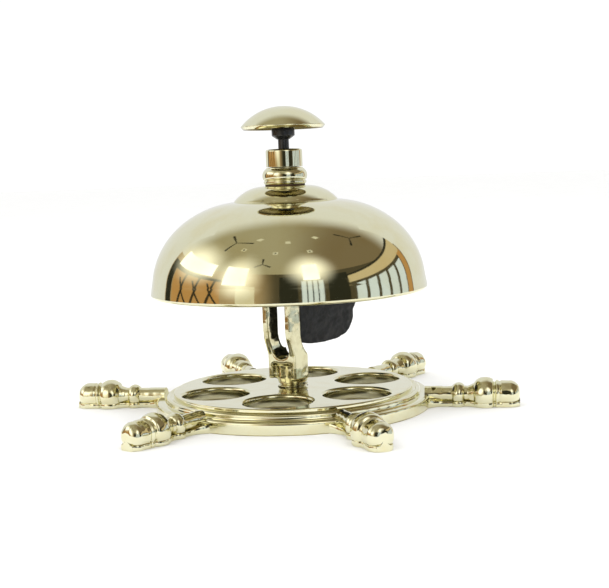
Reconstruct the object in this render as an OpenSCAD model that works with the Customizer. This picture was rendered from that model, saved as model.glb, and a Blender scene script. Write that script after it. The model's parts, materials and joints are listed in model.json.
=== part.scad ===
// Desk service bell on a ship's-wheel base.
// Frame: origin at the centre of the wheel's underside, +Z up,
// +X towards the hammer's head and along one handle. Millimetres.

/* [Wheel base] */
// Radius of the ring's outer wall
wheel_r = 45.9; // [44:0.1:48]
// Radius at the end of each handle
handle_tip_r = 75.2; // [73:0.1:80]
// Number of handles, with one hole between each two
handle_count = 6; // [6]
// Height of the polished plate's top
plate_top_z = 7; // [6.5:0.1:8]
// Thickness of the plate between its two faces
plate_t = 4.5; // [3.5:0.1:5]
// Diameter of each round hole in the plate
hole_d = 22; // [16:0.5:22.5]
// Radius of the circle on which the holes lie
hole_pitch_r = 27; // [25:0.1:27]

/* [Bell] */
// Largest radius of the bell, at its lip
bell_r = 46; // [45:0.1:48]
// Height of the lip's lower edge
lip_z = 39; // [38:0.5:41]
// Height of the flat on the crown where the washer sits
crown_z = 74.1; // [73.8:0.1:74.8]
// Wall thickness
bell_wall = 2.3; // [2:0.1:2.8]

/* [Bracket] */
// Radius of the round hub and of the threaded foot below it
hub_r = 5.3; // [5.2:0.1:6]
// Radius of the threaded foot
foot_r = 5; // [4.5:0.1:5.1]
// Gap between the two arms
arm_gap = 7.4; // [7:0.1:8]
// Thickness of each arm
arm_t = 2.2; // [1.8:0.1:3]

/* [Plunger] */
// Travel of the push button
travel = 3; // [2:0.1:3]
// Radius of the push button
button_r = 14; // [12:0.1:16]
// Height of the top of the push button
top_z = 100.2; // [100:0.1:102]
// Radius of the rod where it shows
rod_r = 1.8; // [1.7:0.05:1.9]

/* [Hammer] */
// Thickness of the hammer
hammer_t = 7; // [5:0.1:7]
// Distance of the hammer's pin from the bell's axis
pin_x = 5; // [5:0.1:5.4]
// Height of the hammer's pin
pin_z = 45; // [44:0.1:45]

/* [Hidden] */
$fn = 96;

// Radial play of a sliding rod or a turning pin
running_fit = 0.05;
// Colours
brass = [0.85, 0.80, 0.55];
steel = [0.62, 0.62, 0.64];
black = [0.10, 0.11, 0.12];
fibre = [0.45, 0.22, 0.14];

// Wheel: underside pocket for the nut, ring and mouldings
plate_low_z = plate_top_z - plate_t;
pocket_r = 10.8;
pocket_z = plate_top_z - 3;
base_washer_t = 0.6;
base_nut_h = 3;
ring_inner_r = wheel_r - 3.9;
ledge_z = plate_top_z - 2.8;
plate_r = wheel_r - 6;
handle_z = 4;
skirt_inset = 0.15;
root_half_w = 6.2;
neck_half_w = 2.6;

// Bracket heights and arm edges (arm edges are X positions)
hub_low_z = plate_top_z + 2;
foot_low_z = pocket_z - base_washer_t - base_nut_h;
hub_top_z = 17;
hub_back_x = -5.8;
foot_end_z = hub_low_z + 0.8;
yoke_z = hub_top_z + arm_gap / 2;
arm_back_x = -7.8;
arm_front_x = -1.7;
flare_x = 1.8;
flare_z = 25.5;
bridge_x = 6.2;
bridge_low_z = 54;
bridge_top_z = 60;
arm_out_y = arm_gap / 2 + arm_t;
cheek_r = 4.2;

// Threaded tube and the nuts on it
stem_r = 4;
stem_top_z = 84.4;
spring_low_z = bridge_low_z + 1;
spring_top_z = 67;
locknut_h = 3;
nut_flats = 13;
foot_nut_flats = 16;
seat_washer_t = 0.8;
seat_nut_h = 3.5;
crown_washer_t = 0.5;
bead_z = crown_z + crown_washer_t;
bead_top_z = crown_z + 6.2;
guide_top_z = crown_z + 12.1;

// Bell: three arcs in the half section, each [radius, height] of its centre
side_c = [bell_r - 27.6, lip_z + 2];
side_r = 27;
side_angle = 51;
shoulder_r = 33;
shoulder_c = side_c - (shoulder_r - side_r) * [cos(side_angle), sin(side_angle)];
crown_foot_r = 17.6;
nut_flat_r = 7.4;
seat_flat_r = 8;
crown_arc_r = 27.3;
crown_c = [0, crown_z - sqrt(pow(crown_arc_r, 2) - pow(nut_flat_r, 2))];
inner_crown_r = crown_arc_r - bell_wall;
crown_round_r = 13.5;
crown_top_slope = 2;
crown_side_slope = 48;
crown_round_c = [nut_flat_r, crown_z] - crown_round_r * [sin(crown_top_slope), cos(crown_top_slope)];
seat_z = crown_c[1] + sqrt(pow(inner_crown_r, 2) - pow(seat_flat_r, 2));

// Spring: wire, mean radius of the coil, and how finely it is drawn
spring_turns = 10;
wire_r = 0.25;
coil_r = 1.525;
end_gap = 0.02;
ring_sides = 6;
steps_per_turn = 14;
spring_steps = spring_turns * steps_per_turn;

// Plunger
rod_thin_r = 1.2;
rod_end_z = pin_z + 0.1;
rod_groove_r = 0.9;
clip_t = 0.6;
rod_clip_z = bridge_low_z - clip_t - 0.1;
collar_low_z = guide_top_z + travel + 0.1;
collar_top_z = collar_low_z + 3.6;
spigot_r = 1.5;
spigot_top_z = collar_top_z + 4;
button_arc_r = 18.3;
button_wall = 1.4;

// Hammer's pin and head
pin_r = 1.5;
pin_boss_r = 3.6;
pin_head_r = 2.4;
nose_r = 3.5;
nose_c = [pin_x + 28.7, pin_z - 5.5];

// Points along an arc, from angle a0 to angle a1
function arc(c, r, a0, a1, n = 12) =
    [for (i = [0 : n]) c + r * [cos(a0 + (a1 - a0) * i / n), sin(a0 + (a1 - a0) * i / n)]];

// Angle at which a circle of radius r round c reaches the radius x
function angle_at(c, r, x) = acos((x - c[0]) / r);

// Ring with a flat top and bottom
module ring(outer_r, inner_r, low_z, h) {
    translate([0, 0, low_z])
        difference() {
            cylinder(r = outer_r, h = h);
            translate([0, 0, -1]) cylinder(r = inner_r, h = h + 2);
        }
}

// Hexagon nut with chamfered corners
module hex_nut(flats, inner_r, low_z, h) {
    corner_r = flats / sqrt(3);
    translate([0, 0, low_z])
        difference() {
            intersection() {
                cylinder(r = corner_r, h = h, $fn = 6);
                rotate_extrude()
                    polygon([[0, 0], [flats / 2, 0], [corner_r, 0.6], [corner_r, h - 0.6],
                             [flats / 2, h], [0, h]]);
            }
            translate([0, 0, -1]) cylinder(r = inner_r, h = h + 2);
        }
}

// ---- Wheel base ----

// Half section of the plate and ring
module wheel_section() {
    bead_c = [plate_r + 1.8, plate_top_z - 2];
    polygon(concat(
        [[foot_r, pocket_z], [pocket_r, pocket_z], [pocket_r, plate_low_z],
         [ring_inner_r, plate_low_z], [ring_inner_r, 0], [wheel_r - 0.4, 0], [wheel_r, 0.4]],
        arc([wheel_r - 1, ledge_z - 1], 1, 0, 90, 6),
        [[plate_r + 3, ledge_z]],
        arc(bead_c, 0.9, 0, 140, 8),
        arc([plate_r - 0.6, plate_top_z - 0.6], 0.6, 0, 90, 4),
        [[foot_r, plate_top_z]]));
}

// Outline of a handle, as [radius, distance along its axis]: neck, bead, waist, bulge, shoulder, tip
function handle_outline() = concat(
    [[3, wheel_r - 1.4], [2.8, wheel_r + 3.6]],
    arc([1.4, handle_tip_r - 19.9], 2.3, -60, 60, 8),
    [[2.7, handle_tip_r - 16.8]],
    arc([2.6, handle_tip_r - 11.2], 2.8, -40, 50, 8),
    [[4, handle_tip_r - 8.2], [4.5, handle_tip_r - 7.4], [4.35, handle_tip_r - 6.6]],
    arc([2.15, handle_tip_r - 2.2], 2.2, 0, 90, 6));

// One handle along +X: a turned upper form on a straight skirt
module handle() {
    outline = handle_outline();
    last = len(outline) - 1;
    intersection() {
        translate([0, 0, handle_z])
            rotate([0, 90, 0])
                rotate_extrude()
                    polygon(concat([[0, outline[0][1]]], outline, [[0, outline[last][1]]]));
        translate([0, -10, 0]) cube([100, 20, 20]);
    }
    linear_extrude(height = handle_z)
        polygon(concat(
            [for (p = outline) [p[1], p[0] - skirt_inset]],
            [for (i = [last : -1 : 0]) [outline[i][1], skirt_inset - outline[i][0]]]));
    linear_extrude(height = handle_z)
        polygon([[wheel_r - 1.4, -root_half_w], [wheel_r + 1.2, 2 - root_half_w],
                 [wheel_r + 4.6, -neck_half_w], [wheel_r + 4.6, neck_half_w],
                 [wheel_r + 1.2, root_half_w - 2], [wheel_r - 1.4, root_half_w]]);
}

module wheel_base() {
    color(brass)
        difference() {
            union() {
                rotate_extrude() wheel_section();
                for (i = [0 : handle_count - 1])
                    rotate([0, 0, i * 360 / handle_count]) handle();
            }
            for (i = [0 : handle_count - 1])
                rotate([0, 0, (i + 0.5) * 360 / handle_count])
                    translate([hole_pitch_r, 0, -1])
                        cylinder(d = hole_d, h = plate_top_z + 2);
        }
}

module base_washer() {
    color(steel) ring(9.9, foot_r + 0.2, pocket_z - base_washer_t, base_washer_t);
}

module base_nut() {
    color(steel) hex_nut(foot_nut_flats, foot_r, foot_low_z, base_nut_h);
}

// ---- Bracket ----

// Outline of one arm, as [X, Z], without the bosses round the pin
module arm_outline() {
    polygon(concat(
        [[hub_back_x, foot_end_z], [hub_back_x, yoke_z - 2.5], [arm_back_x, yoke_z + 3.5],
         [arm_back_x, bridge_top_z], [bridge_x, bridge_top_z],
         [bridge_x, bridge_low_z - 2], [pin_x + cheek_r, pin_z], [pin_x + 2.6, pin_z - 3.4],
         [arm_front_x, pin_z - 9]],
        arc([arm_front_x + 12, flare_z + 1], 12, 180, 225, 6),
        [[flare_x, hub_top_z], [flare_x, foot_end_z]]));
}

module arm(side) {
    translate([0, side * (arm_out_y - arm_t / 2) + arm_t / 2, 0])
        rotate([90, 0, 0])
            linear_extrude(height = arm_t) {
                arm_outline();
                translate([pin_x, pin_z]) circle(r = cheek_r);
            }
}

// Rounded floor of the gap between the arms, level with the top of the hub
module yoke_floor() {
    difference() {
        translate([hub_back_x, -arm_gap / 2 - 0.1, hub_top_z - 2])
            cube([flare_x - hub_back_x, arm_gap + 0.2, arm_gap / 2 + 2]);
        translate([hub_back_x - 1, 0, yoke_z])
            rotate([0, 90, 0]) cylinder(r = arm_gap / 2, h = flare_x - hub_back_x + 2);
    }
}

module bracket() {
    color(brass)
        difference() {
            union() {
                translate([0, 0, foot_low_z]) cylinder(r = foot_r, h = hub_low_z - foot_low_z + 0.4);
                rotate_extrude()
                    polygon([[0, hub_low_z], [hub_r - 0.8, hub_low_z], [hub_r, hub_low_z + 0.8],
                             [hub_r, hub_top_z], [0, hub_top_z]]);
                yoke_floor();
                arm(-1);
                arm(1);
                translate([arm_back_x, -arm_out_y, bridge_low_z])
                    cube([bridge_x - arm_back_x, 2 * arm_out_y, bridge_top_z - bridge_low_z]);
            }
            translate([0, 0, bridge_low_z - 1]) cylinder(r = stem_r, h = bridge_top_z - bridge_low_z + 2);
            translate([pin_x, arm_out_y + 1, pin_z])
                rotate([90, 0, 0]) cylinder(r = pin_r, h = 2 * arm_out_y + 2);
        }
}

// Places a shape drawn along +Z so that it runs along +Y from the pin's head end
module on_pin(y) {
    translate([pin_x, y, pin_z]) rotate([-90, 0, 0]) children();
}

module pivot_pin() {
    color(steel)
        on_pin(-arm_out_y - 1)
            rotate_extrude()
                polygon([[0, 0], [pin_head_r - 0.3, 0], [pin_head_r, 0.3], [pin_head_r, 1],
                         [pin_r, 1], [pin_r, 2 * arm_out_y + 1.1], [1.1, 2 * arm_out_y + 1.1],
                         [1.1, 2 * arm_out_y + 1.7], [pin_r, 2 * arm_out_y + 1.7],
                         [pin_r, 2 * arm_out_y + 2.3], [1.1, 2 * arm_out_y + 2.7],
                         [0, 2 * arm_out_y + 2.7]]);
}

// Open retaining clip, drawn round the Z axis and standing on z = 0
module clip(outer_r, groove_r) {
    difference() {
        cylinder(r = outer_r, h = clip_t);
        translate([0, 0, -1]) cylinder(r = groove_r, h = clip_t + 2);
        translate([0, -groove_r * 0.8, -1]) cube([outer_r + 1, groove_r * 1.6, clip_t + 2]);
    }
}

module pin_clip() {
    color(steel) on_pin(arm_out_y + 0.1) rotate([0, 0, 90]) clip(2.9, 1.1);
}

// ---- Tube, nuts and bell ----

module bell_stem() {
    color(steel)
        difference() {
            translate([0, 0, bridge_low_z]) cylinder(r = stem_r, h = stem_top_z - bridge_low_z);
            translate([0, 0, bridge_low_z - 1]) cylinder(r = rod_thin_r + running_fit, h = 3);
            translate([0, 0, spring_low_z])
                cylinder(r = rod_r + running_fit, h = stem_top_z - spring_low_z + 1);
        }
}

module stem_locknut() {
    color(steel) hex_nut(nut_flats, stem_r, bridge_top_z, locknut_h);
}

module seat_nut() {
    color(steel) hex_nut(nut_flats, stem_r, seat_z - seat_washer_t - seat_nut_h, seat_nut_h);
}

module seat_washer() {
    color(fibre) ring(7.6, stem_r, seat_z - seat_washer_t, seat_washer_t);
}

module bell() {
    outer_end = angle_at(shoulder_c, shoulder_r, crown_foot_r);
    inner_end = angle_at(shoulder_c, shoulder_r - bell_wall, crown_foot_r - 2);
    color(brass)
        rotate_extrude($fn = 180)
            polygon(concat(
                arc([bell_r - 1.3, lip_z + 1.3], 1.3, 225, 360, 8),
                [[bell_r - 0.5, lip_z + 4]],
                arc(side_c, side_r, 8, side_angle, 14),
                arc(shoulder_c, shoulder_r, side_angle, outer_end, 10),
                arc(crown_round_c, crown_round_r, 90 - crown_side_slope, 90 - crown_top_slope, 10),
                [[stem_r + 0.1, crown_z], [stem_r + 0.1, seat_z]],
                arc(crown_c, inner_crown_r, angle_at(crown_c, inner_crown_r, seat_flat_r),
                    angle_at(crown_c, inner_crown_r, crown_foot_r - 4), 6),
                arc(shoulder_c, shoulder_r - bell_wall, inner_end, side_angle, 10),
                arc(side_c, side_r - bell_wall, side_angle, 0, 14)));
}

module crown_washer() {
    color(fibre) ring(7, stem_r, crown_z, crown_washer_t);
}

module bell_nut() {
    h = bead_top_z - bead_z;
    color(brass)
        translate([0, 0, bead_z])
            rotate_extrude()
                polygon(concat(
                    [[stem_r, 0], [7.1, 0]],
                    arc([4.7, h / 2 - 0.1], 2.8, -35, 52, 10),
                    [[6.2, h], [stem_r, h]]));
}

module guide_nut() {
    h = guide_top_z - bead_top_z;
    color(brass)
        translate([0, 0, bead_top_z])
            rotate_extrude()
                polygon([[stem_r, 0], [6.05, 0], [6.05, h - 0.9], [5.15, h],
                         [rod_r + running_fit, h], [rod_r + running_fit, h - 1.7],
                         [stem_r, h - 1.7]]);
}

// ---- Spring ----

// Height of the wire's centre line, and the ring of points round it, at step i
function coil_z(i) =
    spring_low_z + wire_r + end_gap
    + (spring_top_z - spring_low_z - 2 * (wire_r + end_gap)) * i / spring_steps;
function wire_ring(i) =
    [for (k = [0 : ring_sides - 1])
        let (a = 360 * i / steps_per_turn, b = 360 * k / ring_sides)
            [(coil_r + wire_r * cos(b)) * cos(a), (coil_r + wire_r * cos(b)) * sin(a),
             coil_z(i) + wire_r * sin(b)]];

module return_spring() {
    points = [for (i = [0 : spring_steps]) each wire_ring(i)];
    sides = [for (i = [0 : spring_steps - 1], k = [0 : ring_sides - 1])
        let (n = (k + 1) % ring_sides, a = i * ring_sides, b = a + ring_sides)
            [a + k, b + k, b + n, a + n]];
    first = [for (k = [0 : ring_sides - 1]) k];
    final = [for (k = [ring_sides - 1 : -1 : 0]) spring_steps * ring_sides + k];
    color(steel) polyhedron(points = points, faces = concat(sides, [first, final]));
}

// ---- Plunger ----

module plunger_rod() {
    color(black)
        rotate_extrude()
            polygon(concat(
                arc([0, rod_end_z + rod_thin_r], rod_thin_r, -90, 0, 6),
                [[rod_thin_r, rod_clip_z], [rod_groove_r, rod_clip_z],
                 [rod_groove_r, rod_clip_z + clip_t], [rod_thin_r, rod_clip_z + clip_t],
                 [rod_thin_r, spring_top_z], [rod_r, spring_top_z], [rod_r, collar_top_z],
                 [spigot_r, collar_top_z], [spigot_r, spigot_top_z], [0, spigot_top_z]]));
}

module rod_clip() {
    color(steel) translate([0, 0, rod_clip_z]) clip(2.6, rod_groove_r);
}

module stop_collar() {
    color(black)
        rotate_extrude()
            polygon([[rod_r, collar_low_z], [rod_r + 0.3, collar_low_z],
                     [rod_r + 2, collar_low_z + 1.2], [rod_r + 2, collar_top_z],
                     [rod_r, collar_top_z]]);
}

module push_button() {
    outer_c = [0, top_z - button_arc_r];
    inner_r = button_arc_r - button_wall;
    rim_angle = angle_at(outer_c, button_arc_r, button_r);
    inner_rim_angle = angle_at(outer_c, inner_r, button_r - 0.9);
    boss_r = 4;
    boss_angle = angle_at(outer_c, inner_r, boss_r);
    color(brass)
        rotate_extrude()
            polygon(concat(
                [[0, spigot_top_z], [spigot_r, spigot_top_z], [spigot_r, collar_top_z],
                 [boss_r, collar_top_z]],
                arc(outer_c, inner_r, boss_angle, inner_rim_angle, 12),
                arc(outer_c, button_arc_r, rim_angle, 90, 16)));
}

// ---- Hammer ----

module hammer() {
    tail_x = pin_x - 7.2;
    head_back_x = 1;
    head_low_z = 20;
    color(black)
        translate([0, hammer_t / 2, 0])
            rotate([90, 0, 0])
                difference() {
                    linear_extrude(height = hammer_t)
                        polygon(concat(
                            [[tail_x, pin_z - 0.8], [tail_x + 0.8, pin_z]],
                            arc([pin_x, pin_z], pin_boss_r, 180, 80, 8),
                            [[pin_x + 12, pin_z + 2.8]],
                            arc(nose_c, nose_r, 100, -30, 10),
                            arc([22.6, head_low_z + 9], 8, 365, 292, 8),
                            arc([14, head_low_z + 60], 60, 277, 261, 6),
                            [[head_back_x + 1, head_low_z + 1.4], [head_back_x, head_low_z + 2.4],
                             [head_back_x, pin_z - pin_boss_r], [tail_x, pin_z - 3]]));
                    translate([pin_x, pin_z, -1]) cylinder(r = pin_r + running_fit, h = hammer_t + 2);
                }
}

wheel_base();
base_washer();
base_nut();
bracket();
pivot_pin();
pin_clip();
bell_stem();
stem_locknut();
seat_nut();
seat_washer();
bell();
crown_washer();
bell_nut();
guide_nut();
return_spring();
plunger_rod();
rod_clip();
stop_collar();
push_button();
hammer();
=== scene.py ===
"""Looks of the desk service bell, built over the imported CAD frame.

Frame: origin at the centre of the wheel's underside, +Z up, +X towards the hammer's head and
along one handle. The object's sizes are in millimetres, and its meshes, the room and the lights
are in metres.
"""

import json
import math

import bmesh
import bpy
import numpy as np
from mathutils import Matrix, Vector, noise

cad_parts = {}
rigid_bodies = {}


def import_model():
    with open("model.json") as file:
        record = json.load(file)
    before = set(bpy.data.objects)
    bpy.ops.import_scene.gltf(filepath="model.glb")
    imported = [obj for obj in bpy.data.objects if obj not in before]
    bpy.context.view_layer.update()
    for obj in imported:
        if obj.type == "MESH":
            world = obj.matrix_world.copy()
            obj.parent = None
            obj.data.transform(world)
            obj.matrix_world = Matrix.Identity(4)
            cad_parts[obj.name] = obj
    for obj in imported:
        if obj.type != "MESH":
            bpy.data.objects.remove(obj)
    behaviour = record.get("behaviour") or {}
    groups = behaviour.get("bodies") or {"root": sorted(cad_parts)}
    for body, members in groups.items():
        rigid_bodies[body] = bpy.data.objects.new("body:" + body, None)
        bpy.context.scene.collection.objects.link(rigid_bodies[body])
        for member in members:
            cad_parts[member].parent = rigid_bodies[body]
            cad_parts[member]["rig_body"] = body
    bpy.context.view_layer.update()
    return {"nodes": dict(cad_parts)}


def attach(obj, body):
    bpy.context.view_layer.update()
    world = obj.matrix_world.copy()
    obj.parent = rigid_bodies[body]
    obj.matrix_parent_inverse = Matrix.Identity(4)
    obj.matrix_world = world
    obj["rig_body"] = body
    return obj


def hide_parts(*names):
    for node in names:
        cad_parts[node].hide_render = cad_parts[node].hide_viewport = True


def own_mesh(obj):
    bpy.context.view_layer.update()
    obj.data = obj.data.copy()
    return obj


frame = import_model()

MM = 0.001

# ---- Sizes of the object, in millimetres ----

PLATE_TOP = 7.0
PLATE_LOW = 2.5
WHEEL_R = 45.9
PLATE_EDGE_R = 39.9
PLATE_JOIN_R = 39.0
RING_INNER_R = 42.0
LEDGE_Z = 4.2
HOLE_R = 11.0
HOLE_PITCH_R = 27.0
HOLE_ROUND = 0.9
FOOT_R = 5.0
FOOT_PITCH = 1.25
POCKET_R = 10.8
POCKET_Z = 4.0
HANDLES = 6
HANDLE_TURN = 60
HANDLE_TIP = 75.2
HANDLE_Z = 4.0
WEB_TOP = 1.7
FOOT_WASHER_R = 9.9
FOOT_WASHER_T = 0.6
FOOT_NUT_FLATS = 16
NUT_H = 3
FOOT_NUT_LOW = POCKET_Z - FOOT_WASHER_T - NUT_H
BORE_INSET = 0.3

HUB_LOW = 9.0
HUB_TOP = 17.0
ARM_OUT_Y = 5.9
BRIDGE_LOW = 54.0
BRIDGE_TOP = 60.0
PIN = (5.0, 45.0)
PIN_R = 1.5
PIN_HEAD_R = 2.4
PIN_GROOVE_R = 1.1

BELL_R = 46.0
LIP_Z = 39.0
CROWN_Z = 74.1
BELL_WALL = 2.3
STEM_R = 4.0
STEM_PITCH = 1.0
STEM_NUT_FLATS = 13
STEM_TOP = 84.4
BEAD_Z = 74.6
BEAD_TOP = 80.3
GUIDE_TOP = 86.2

COLLAR_LOW = 89.3
COLLAR_TOP = 92.9
ROD_R = 1.8
ROD_THIN_R = 1.2
ROD_END = 45.1
ROD_CLIP_Z = 53.3
ROD_GROOVE_R = 0.9
CLIP_T = 0.6
SLIDE_GAP = 0.05
SPRING_LOW = 55.0
SPRING_TOP = 67.0
SPRING_TURNS = 10
BUTTON_TOP = 100.2
BUTTON_R = 14.0
BUTTON_ARC_R = 18.3
BUTTON_WALL = 1.4
BOSS_R = 4.0
ROD_END_R = 1.5
ROD_TOP = COLLAR_TOP + 4

# Edges sharper than this many degrees break the shading of a casting, and the bracket's lower
# part is softened by some further rounds.
CAST_SHARP = 60
EXTRA_ROUNDS = 10

# ---- Camera, in the photograph's view, in millimetres and degrees ----

VIEW_AZIMUTH = -49.3
CAMERA_DISTANCE = 405.4
CAMERA_HEIGHT = 80.7
CAMERA_PITCH = 6.04
CAMERA_YAW = 0.71
CAMERA_ROLL = 2.18
LENS = 72.15
SENSOR_WIDTH = 36

# ---- Room, in metres. Its edges are azimuths and elevations in degrees ----

ROOM_R = 2.2
ROOM_CENTRE = Vector((0, 0, 0.045))
TABLE_R = 0.24
FLOOR_R = 6.0
ROOM_LOW = -14
WALL_TOP = 27
BACKDROP_TOP = 50
ZENITH = 89.9
BACK_RIGHT = 122
BACK_LEFT = 360 - BACK_RIGHT
WORLD_STRENGTH = 1.06
SOFTBOX_SIZE = 0.4
SOFTBOX_WATTS = 1.7


# ---- Outlines ----

NEARLY_STRAIGHT = math.radians(178)


def arc(cx, cz, r, a0, a1, n=12):
    """Points along an arc, from angle a0 to angle a1 in degrees."""
    angles = np.radians(np.linspace(a0, a1, n + 1))
    return [(cx + r * math.cos(a), cz + r * math.sin(a)) for a in angles]


def circle(cx, cy, r, n=96):
    """Points round a full circle, the last not repeating the first."""
    return arc(cx, cy, r, 0, 360, n)[:-1]


def ring_points(r, z, segments):
    """Points round a circle at height z."""
    return [
        (r * math.cos(2 * math.pi * k / segments), r * math.sin(2 * math.pi * k / segments), z)
        for k in range(segments)
    ]


def rounded(points, radius, n=5, closed=False):
    """The polyline with each corner turned into an arc. A point may carry its own radius as a
    third number."""
    out = []
    count = len(points)
    for i, point in enumerate(points):
        p = Vector(point[:2])
        r = point[2] if len(point) > 2 else radius
        if not closed and i in (0, count - 1) or r <= 0:
            out.append(tuple(p))
            continue
        back = Vector(points[i - 1][:2]) - p
        ahead = Vector(points[(i + 1) % count][:2]) - p
        turn = back.angle(ahead, math.pi)
        if turn > NEARLY_STRAIGHT:
            out.append(tuple(p))
            continue
        reach = min(r / math.tan(turn / 2), 0.49 * back.length, 0.49 * ahead.length)
        r = reach * math.tan(turn / 2)
        halfway = (back.normalized() + ahead.normalized()).normalized()
        centre = p + halfway * (r / math.sin(turn / 2))
        start = p + back.normalized() * reach - centre
        end = p + ahead.normalized() * reach - centre
        sweep = math.atan2(start.x * end.y - start.y * end.x, start.dot(end))
        for k in range(n + 1):
            a = sweep * k / n
            x = centre.x + start.x * math.cos(a) - start.y * math.sin(a)
            y = centre.y + start.x * math.sin(a) + start.y * math.cos(a)
            out.append((x, y))
    return out


def resampled(points, step):
    """The polyline with points added so that none are further apart than step."""
    out = [points[0]]
    for a, b in zip(points, points[1:]):
        n = max(1, math.ceil(math.dist(a, b) / step))
        for k in range(1, n + 1):
            out.append((a[0] + (b[0] - a[0]) * k / n, a[1] + (b[1] - a[1]) * k / n))
    return out


def offset_outline(points, distance):
    """A closed counter-clockwise outline moved outwards by distance."""
    p = np.array(points, float)
    edge = np.roll(p, -1, 0) - p
    normal = np.stack([edge[:, 1], -edge[:, 0]], 1)
    normal /= np.linalg.norm(normal, axis=1, keepdims=True)
    mitre = normal + np.roll(normal, 1, 0)
    mitre /= np.maximum((mitre * np.roll(normal, 1, 0)).sum(1, keepdims=True), 0.4)
    return [tuple(q) for q in p + mitre * distance]


# ---- Solids, each a list of points and a list of faces ----


def lathe(profile, segments=160, closed=True):
    """Turns a half section of (radius, height) points round the Z axis. An open section starts
    and ends on the axis."""
    verts, faces, rows = [], [], []
    for r, z in profile:
        if r < 1e-6:
            rows.append([len(verts)] * segments)
            verts.append((0, 0, z))
        else:
            rows.append(list(range(len(verts), len(verts) + segments)))
            verts += ring_points(r, z, segments)
    pairs = list(zip(rows, rows[1:])) + ([(rows[-1], rows[0])] if closed else [])
    for a, b in pairs:
        for k in range(segments):
            n = (k + 1) % segments
            face = list(dict.fromkeys([a[k], a[n], b[n], b[k]]))
            if len(face) > 2:
                faces.append(face)
    return verts, faces


def strip(rows, wrap=True):
    """Faces between successive rows of points, each row as long as the first."""
    verts = [v for row in rows for v in row]
    n = len(rows[0])
    faces = []
    for i in range(len(rows) - 1):
        for k in range(n if wrap else n - 1):
            m = (k + 1) % n
            faces.append([i * n + k, i * n + m, (i + 1) * n + m, (i + 1) * n + k])
    return verts, faces


def loft(rows):
    """A closed solid through successive closed rows of points, with flat ends."""
    verts, faces = strip(rows)
    n = len(rows[0])
    faces.append(list(range(n))[::-1])
    faces.append([len(verts) - n + k for k in range(n)])
    return verts, faces


def slab(loops, top, low):
    """A flat piece between two heights. Each loop is (outline, rim), the first for the outside and
    the rest for holes. A rim is (distance off the outline, height) from top to low, the distance
    being positive away from the material."""
    bm = bmesh.new()
    fills = {top: [], low: []}
    for index, (outline, rim) in enumerate(loops):
        side = 1 if index == 0 else -1
        rows = []
        for distance, z in rim:
            rows.append([bm.verts.new((x, y, z)) for x, y in offset_outline(outline, side * distance)])
        n = len(outline)
        for a, b in zip(rows, rows[1:]):
            for k in range(n):
                m = (k + 1) % n
                bm.faces.new((a[k], a[m], b[m], b[k]))
        for z, row in ((top, rows[0]), (low, rows[-1])):
            fills[z] += [bm.edges.get((row[k], row[(k + 1) % n])) for k in range(n)]
    for z, edges in fills.items():
        normal = (0, 0, 1 if z == top else -1)
        bmesh.ops.triangle_fill(bm, edges=edges, use_beauty=True, normal=normal)
    bm.verts.index_update()
    verts = [tuple(v.co) for v in bm.verts]
    faces = [[v.index for v in f.verts] for f in bm.faces]
    bm.free()
    return verts, faces


def soft_rim(top, low, edge):
    """Rim of a slab whose two edges are rounded with radius edge."""
    upper = [(-edge + x, z) for x, z in arc(0, top - edge, edge, 90, 0, 6)]
    lower = [(-edge + x, z) for x, z in arc(0, low + edge, edge, 0, -90, 6)]
    return upper + lower


def thread(major_r, pitch, low, top, inner_r, segments=64, rows_a_turn=9):
    """A right-hand external thread, which fades out at its flat ends, round a bore of inner_r."""
    depth = 0.55 * pitch
    rows = [ring_points(inner_r, low, segments)]
    count = int((top - low) / pitch * rows_a_turn)
    for i in range(count + 1):
        z = low + (top - low) * i / count
        ease = min(1, (z - low) / pitch, (top - z) / pitch)
        row = []
        for k in range(segments):
            phase = (z / pitch - k / segments) % 1
            groove = max(0, min(1, 1.6 * abs(2 * phase - 1) - 0.3))
            r = major_r - depth * (groove * ease + 0.5 * (1 - ease))
            a = 2 * math.pi * k / segments
            row.append((r * math.cos(a), r * math.sin(a), z))
        rows.append(row)
    rows.append(ring_points(inner_r, top, segments))
    return strip(rows + [rows[0]])


def hex_nut(flats, bore_r, low, height, segments=120):
    """A hexagon nut with a cone cut on both faces and a countersunk bore."""
    corner = flats / math.sqrt(3)
    cone_foot = flats / 2 - 0.15
    cut = (corner - flats / 2) * 0.6
    sink = 0.5
    levels = [0, 0.25 * cut, 0.5 * cut, 0.75 * cut, cut, height / 2]
    levels += [height - z for z in levels[-2::-1]]

    def side_row(z):
        cone = cone_foot + (corner - cone_foot) * min(1, min(z, height - z) / cut)
        out = []
        for k in range(segments):
            a = 2 * math.pi * k / segments
            face = (a + math.pi / 6) % (math.pi / 3) - math.pi / 6
            r = min(flats / 2 / math.cos(face), cone)
            out.append((r * math.cos(a), r * math.sin(a), low + z))
        return out

    rows = [ring_points(bore_r, low + sink, segments), ring_points(bore_r + sink, low, segments)]
    rows += [side_row(z) for z in levels]
    rows.append(ring_points(bore_r + sink, low + height, segments))
    rows.append(ring_points(bore_r, low + height - sink, segments))
    return strip(rows + [rows[0]])


def washer(outer_r, inner_r, low, height, edge=0.15):
    """A flat ring with softened edges."""
    top = low + height
    profile = [(inner_r, low), (outer_r, low), (outer_r, top), (inner_r, top)]
    return lathe(rounded(profile, edge, 3, closed=True), 96)


def open_clip(outer_r, groove_r, low, height):
    """A flat retaining clip, open towards +X, round the Z axis."""
    mouth = math.degrees(math.asin(0.8))
    top = low + height
    inner = arc(0, 0, groove_r, 360 - mouth, mouth, 24)
    outer = arc(0, 0, outer_r, 22, 338, 40)
    ears = [(groove_r + 0.5, groove_r * 0.9)]
    outline = rounded(outer + [(x, -y) for x, y in ears] + inner + ears, 0.12, 2, closed=True)
    return slab([(outline, soft_rim(top, low, 0.08))], top, low)


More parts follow.
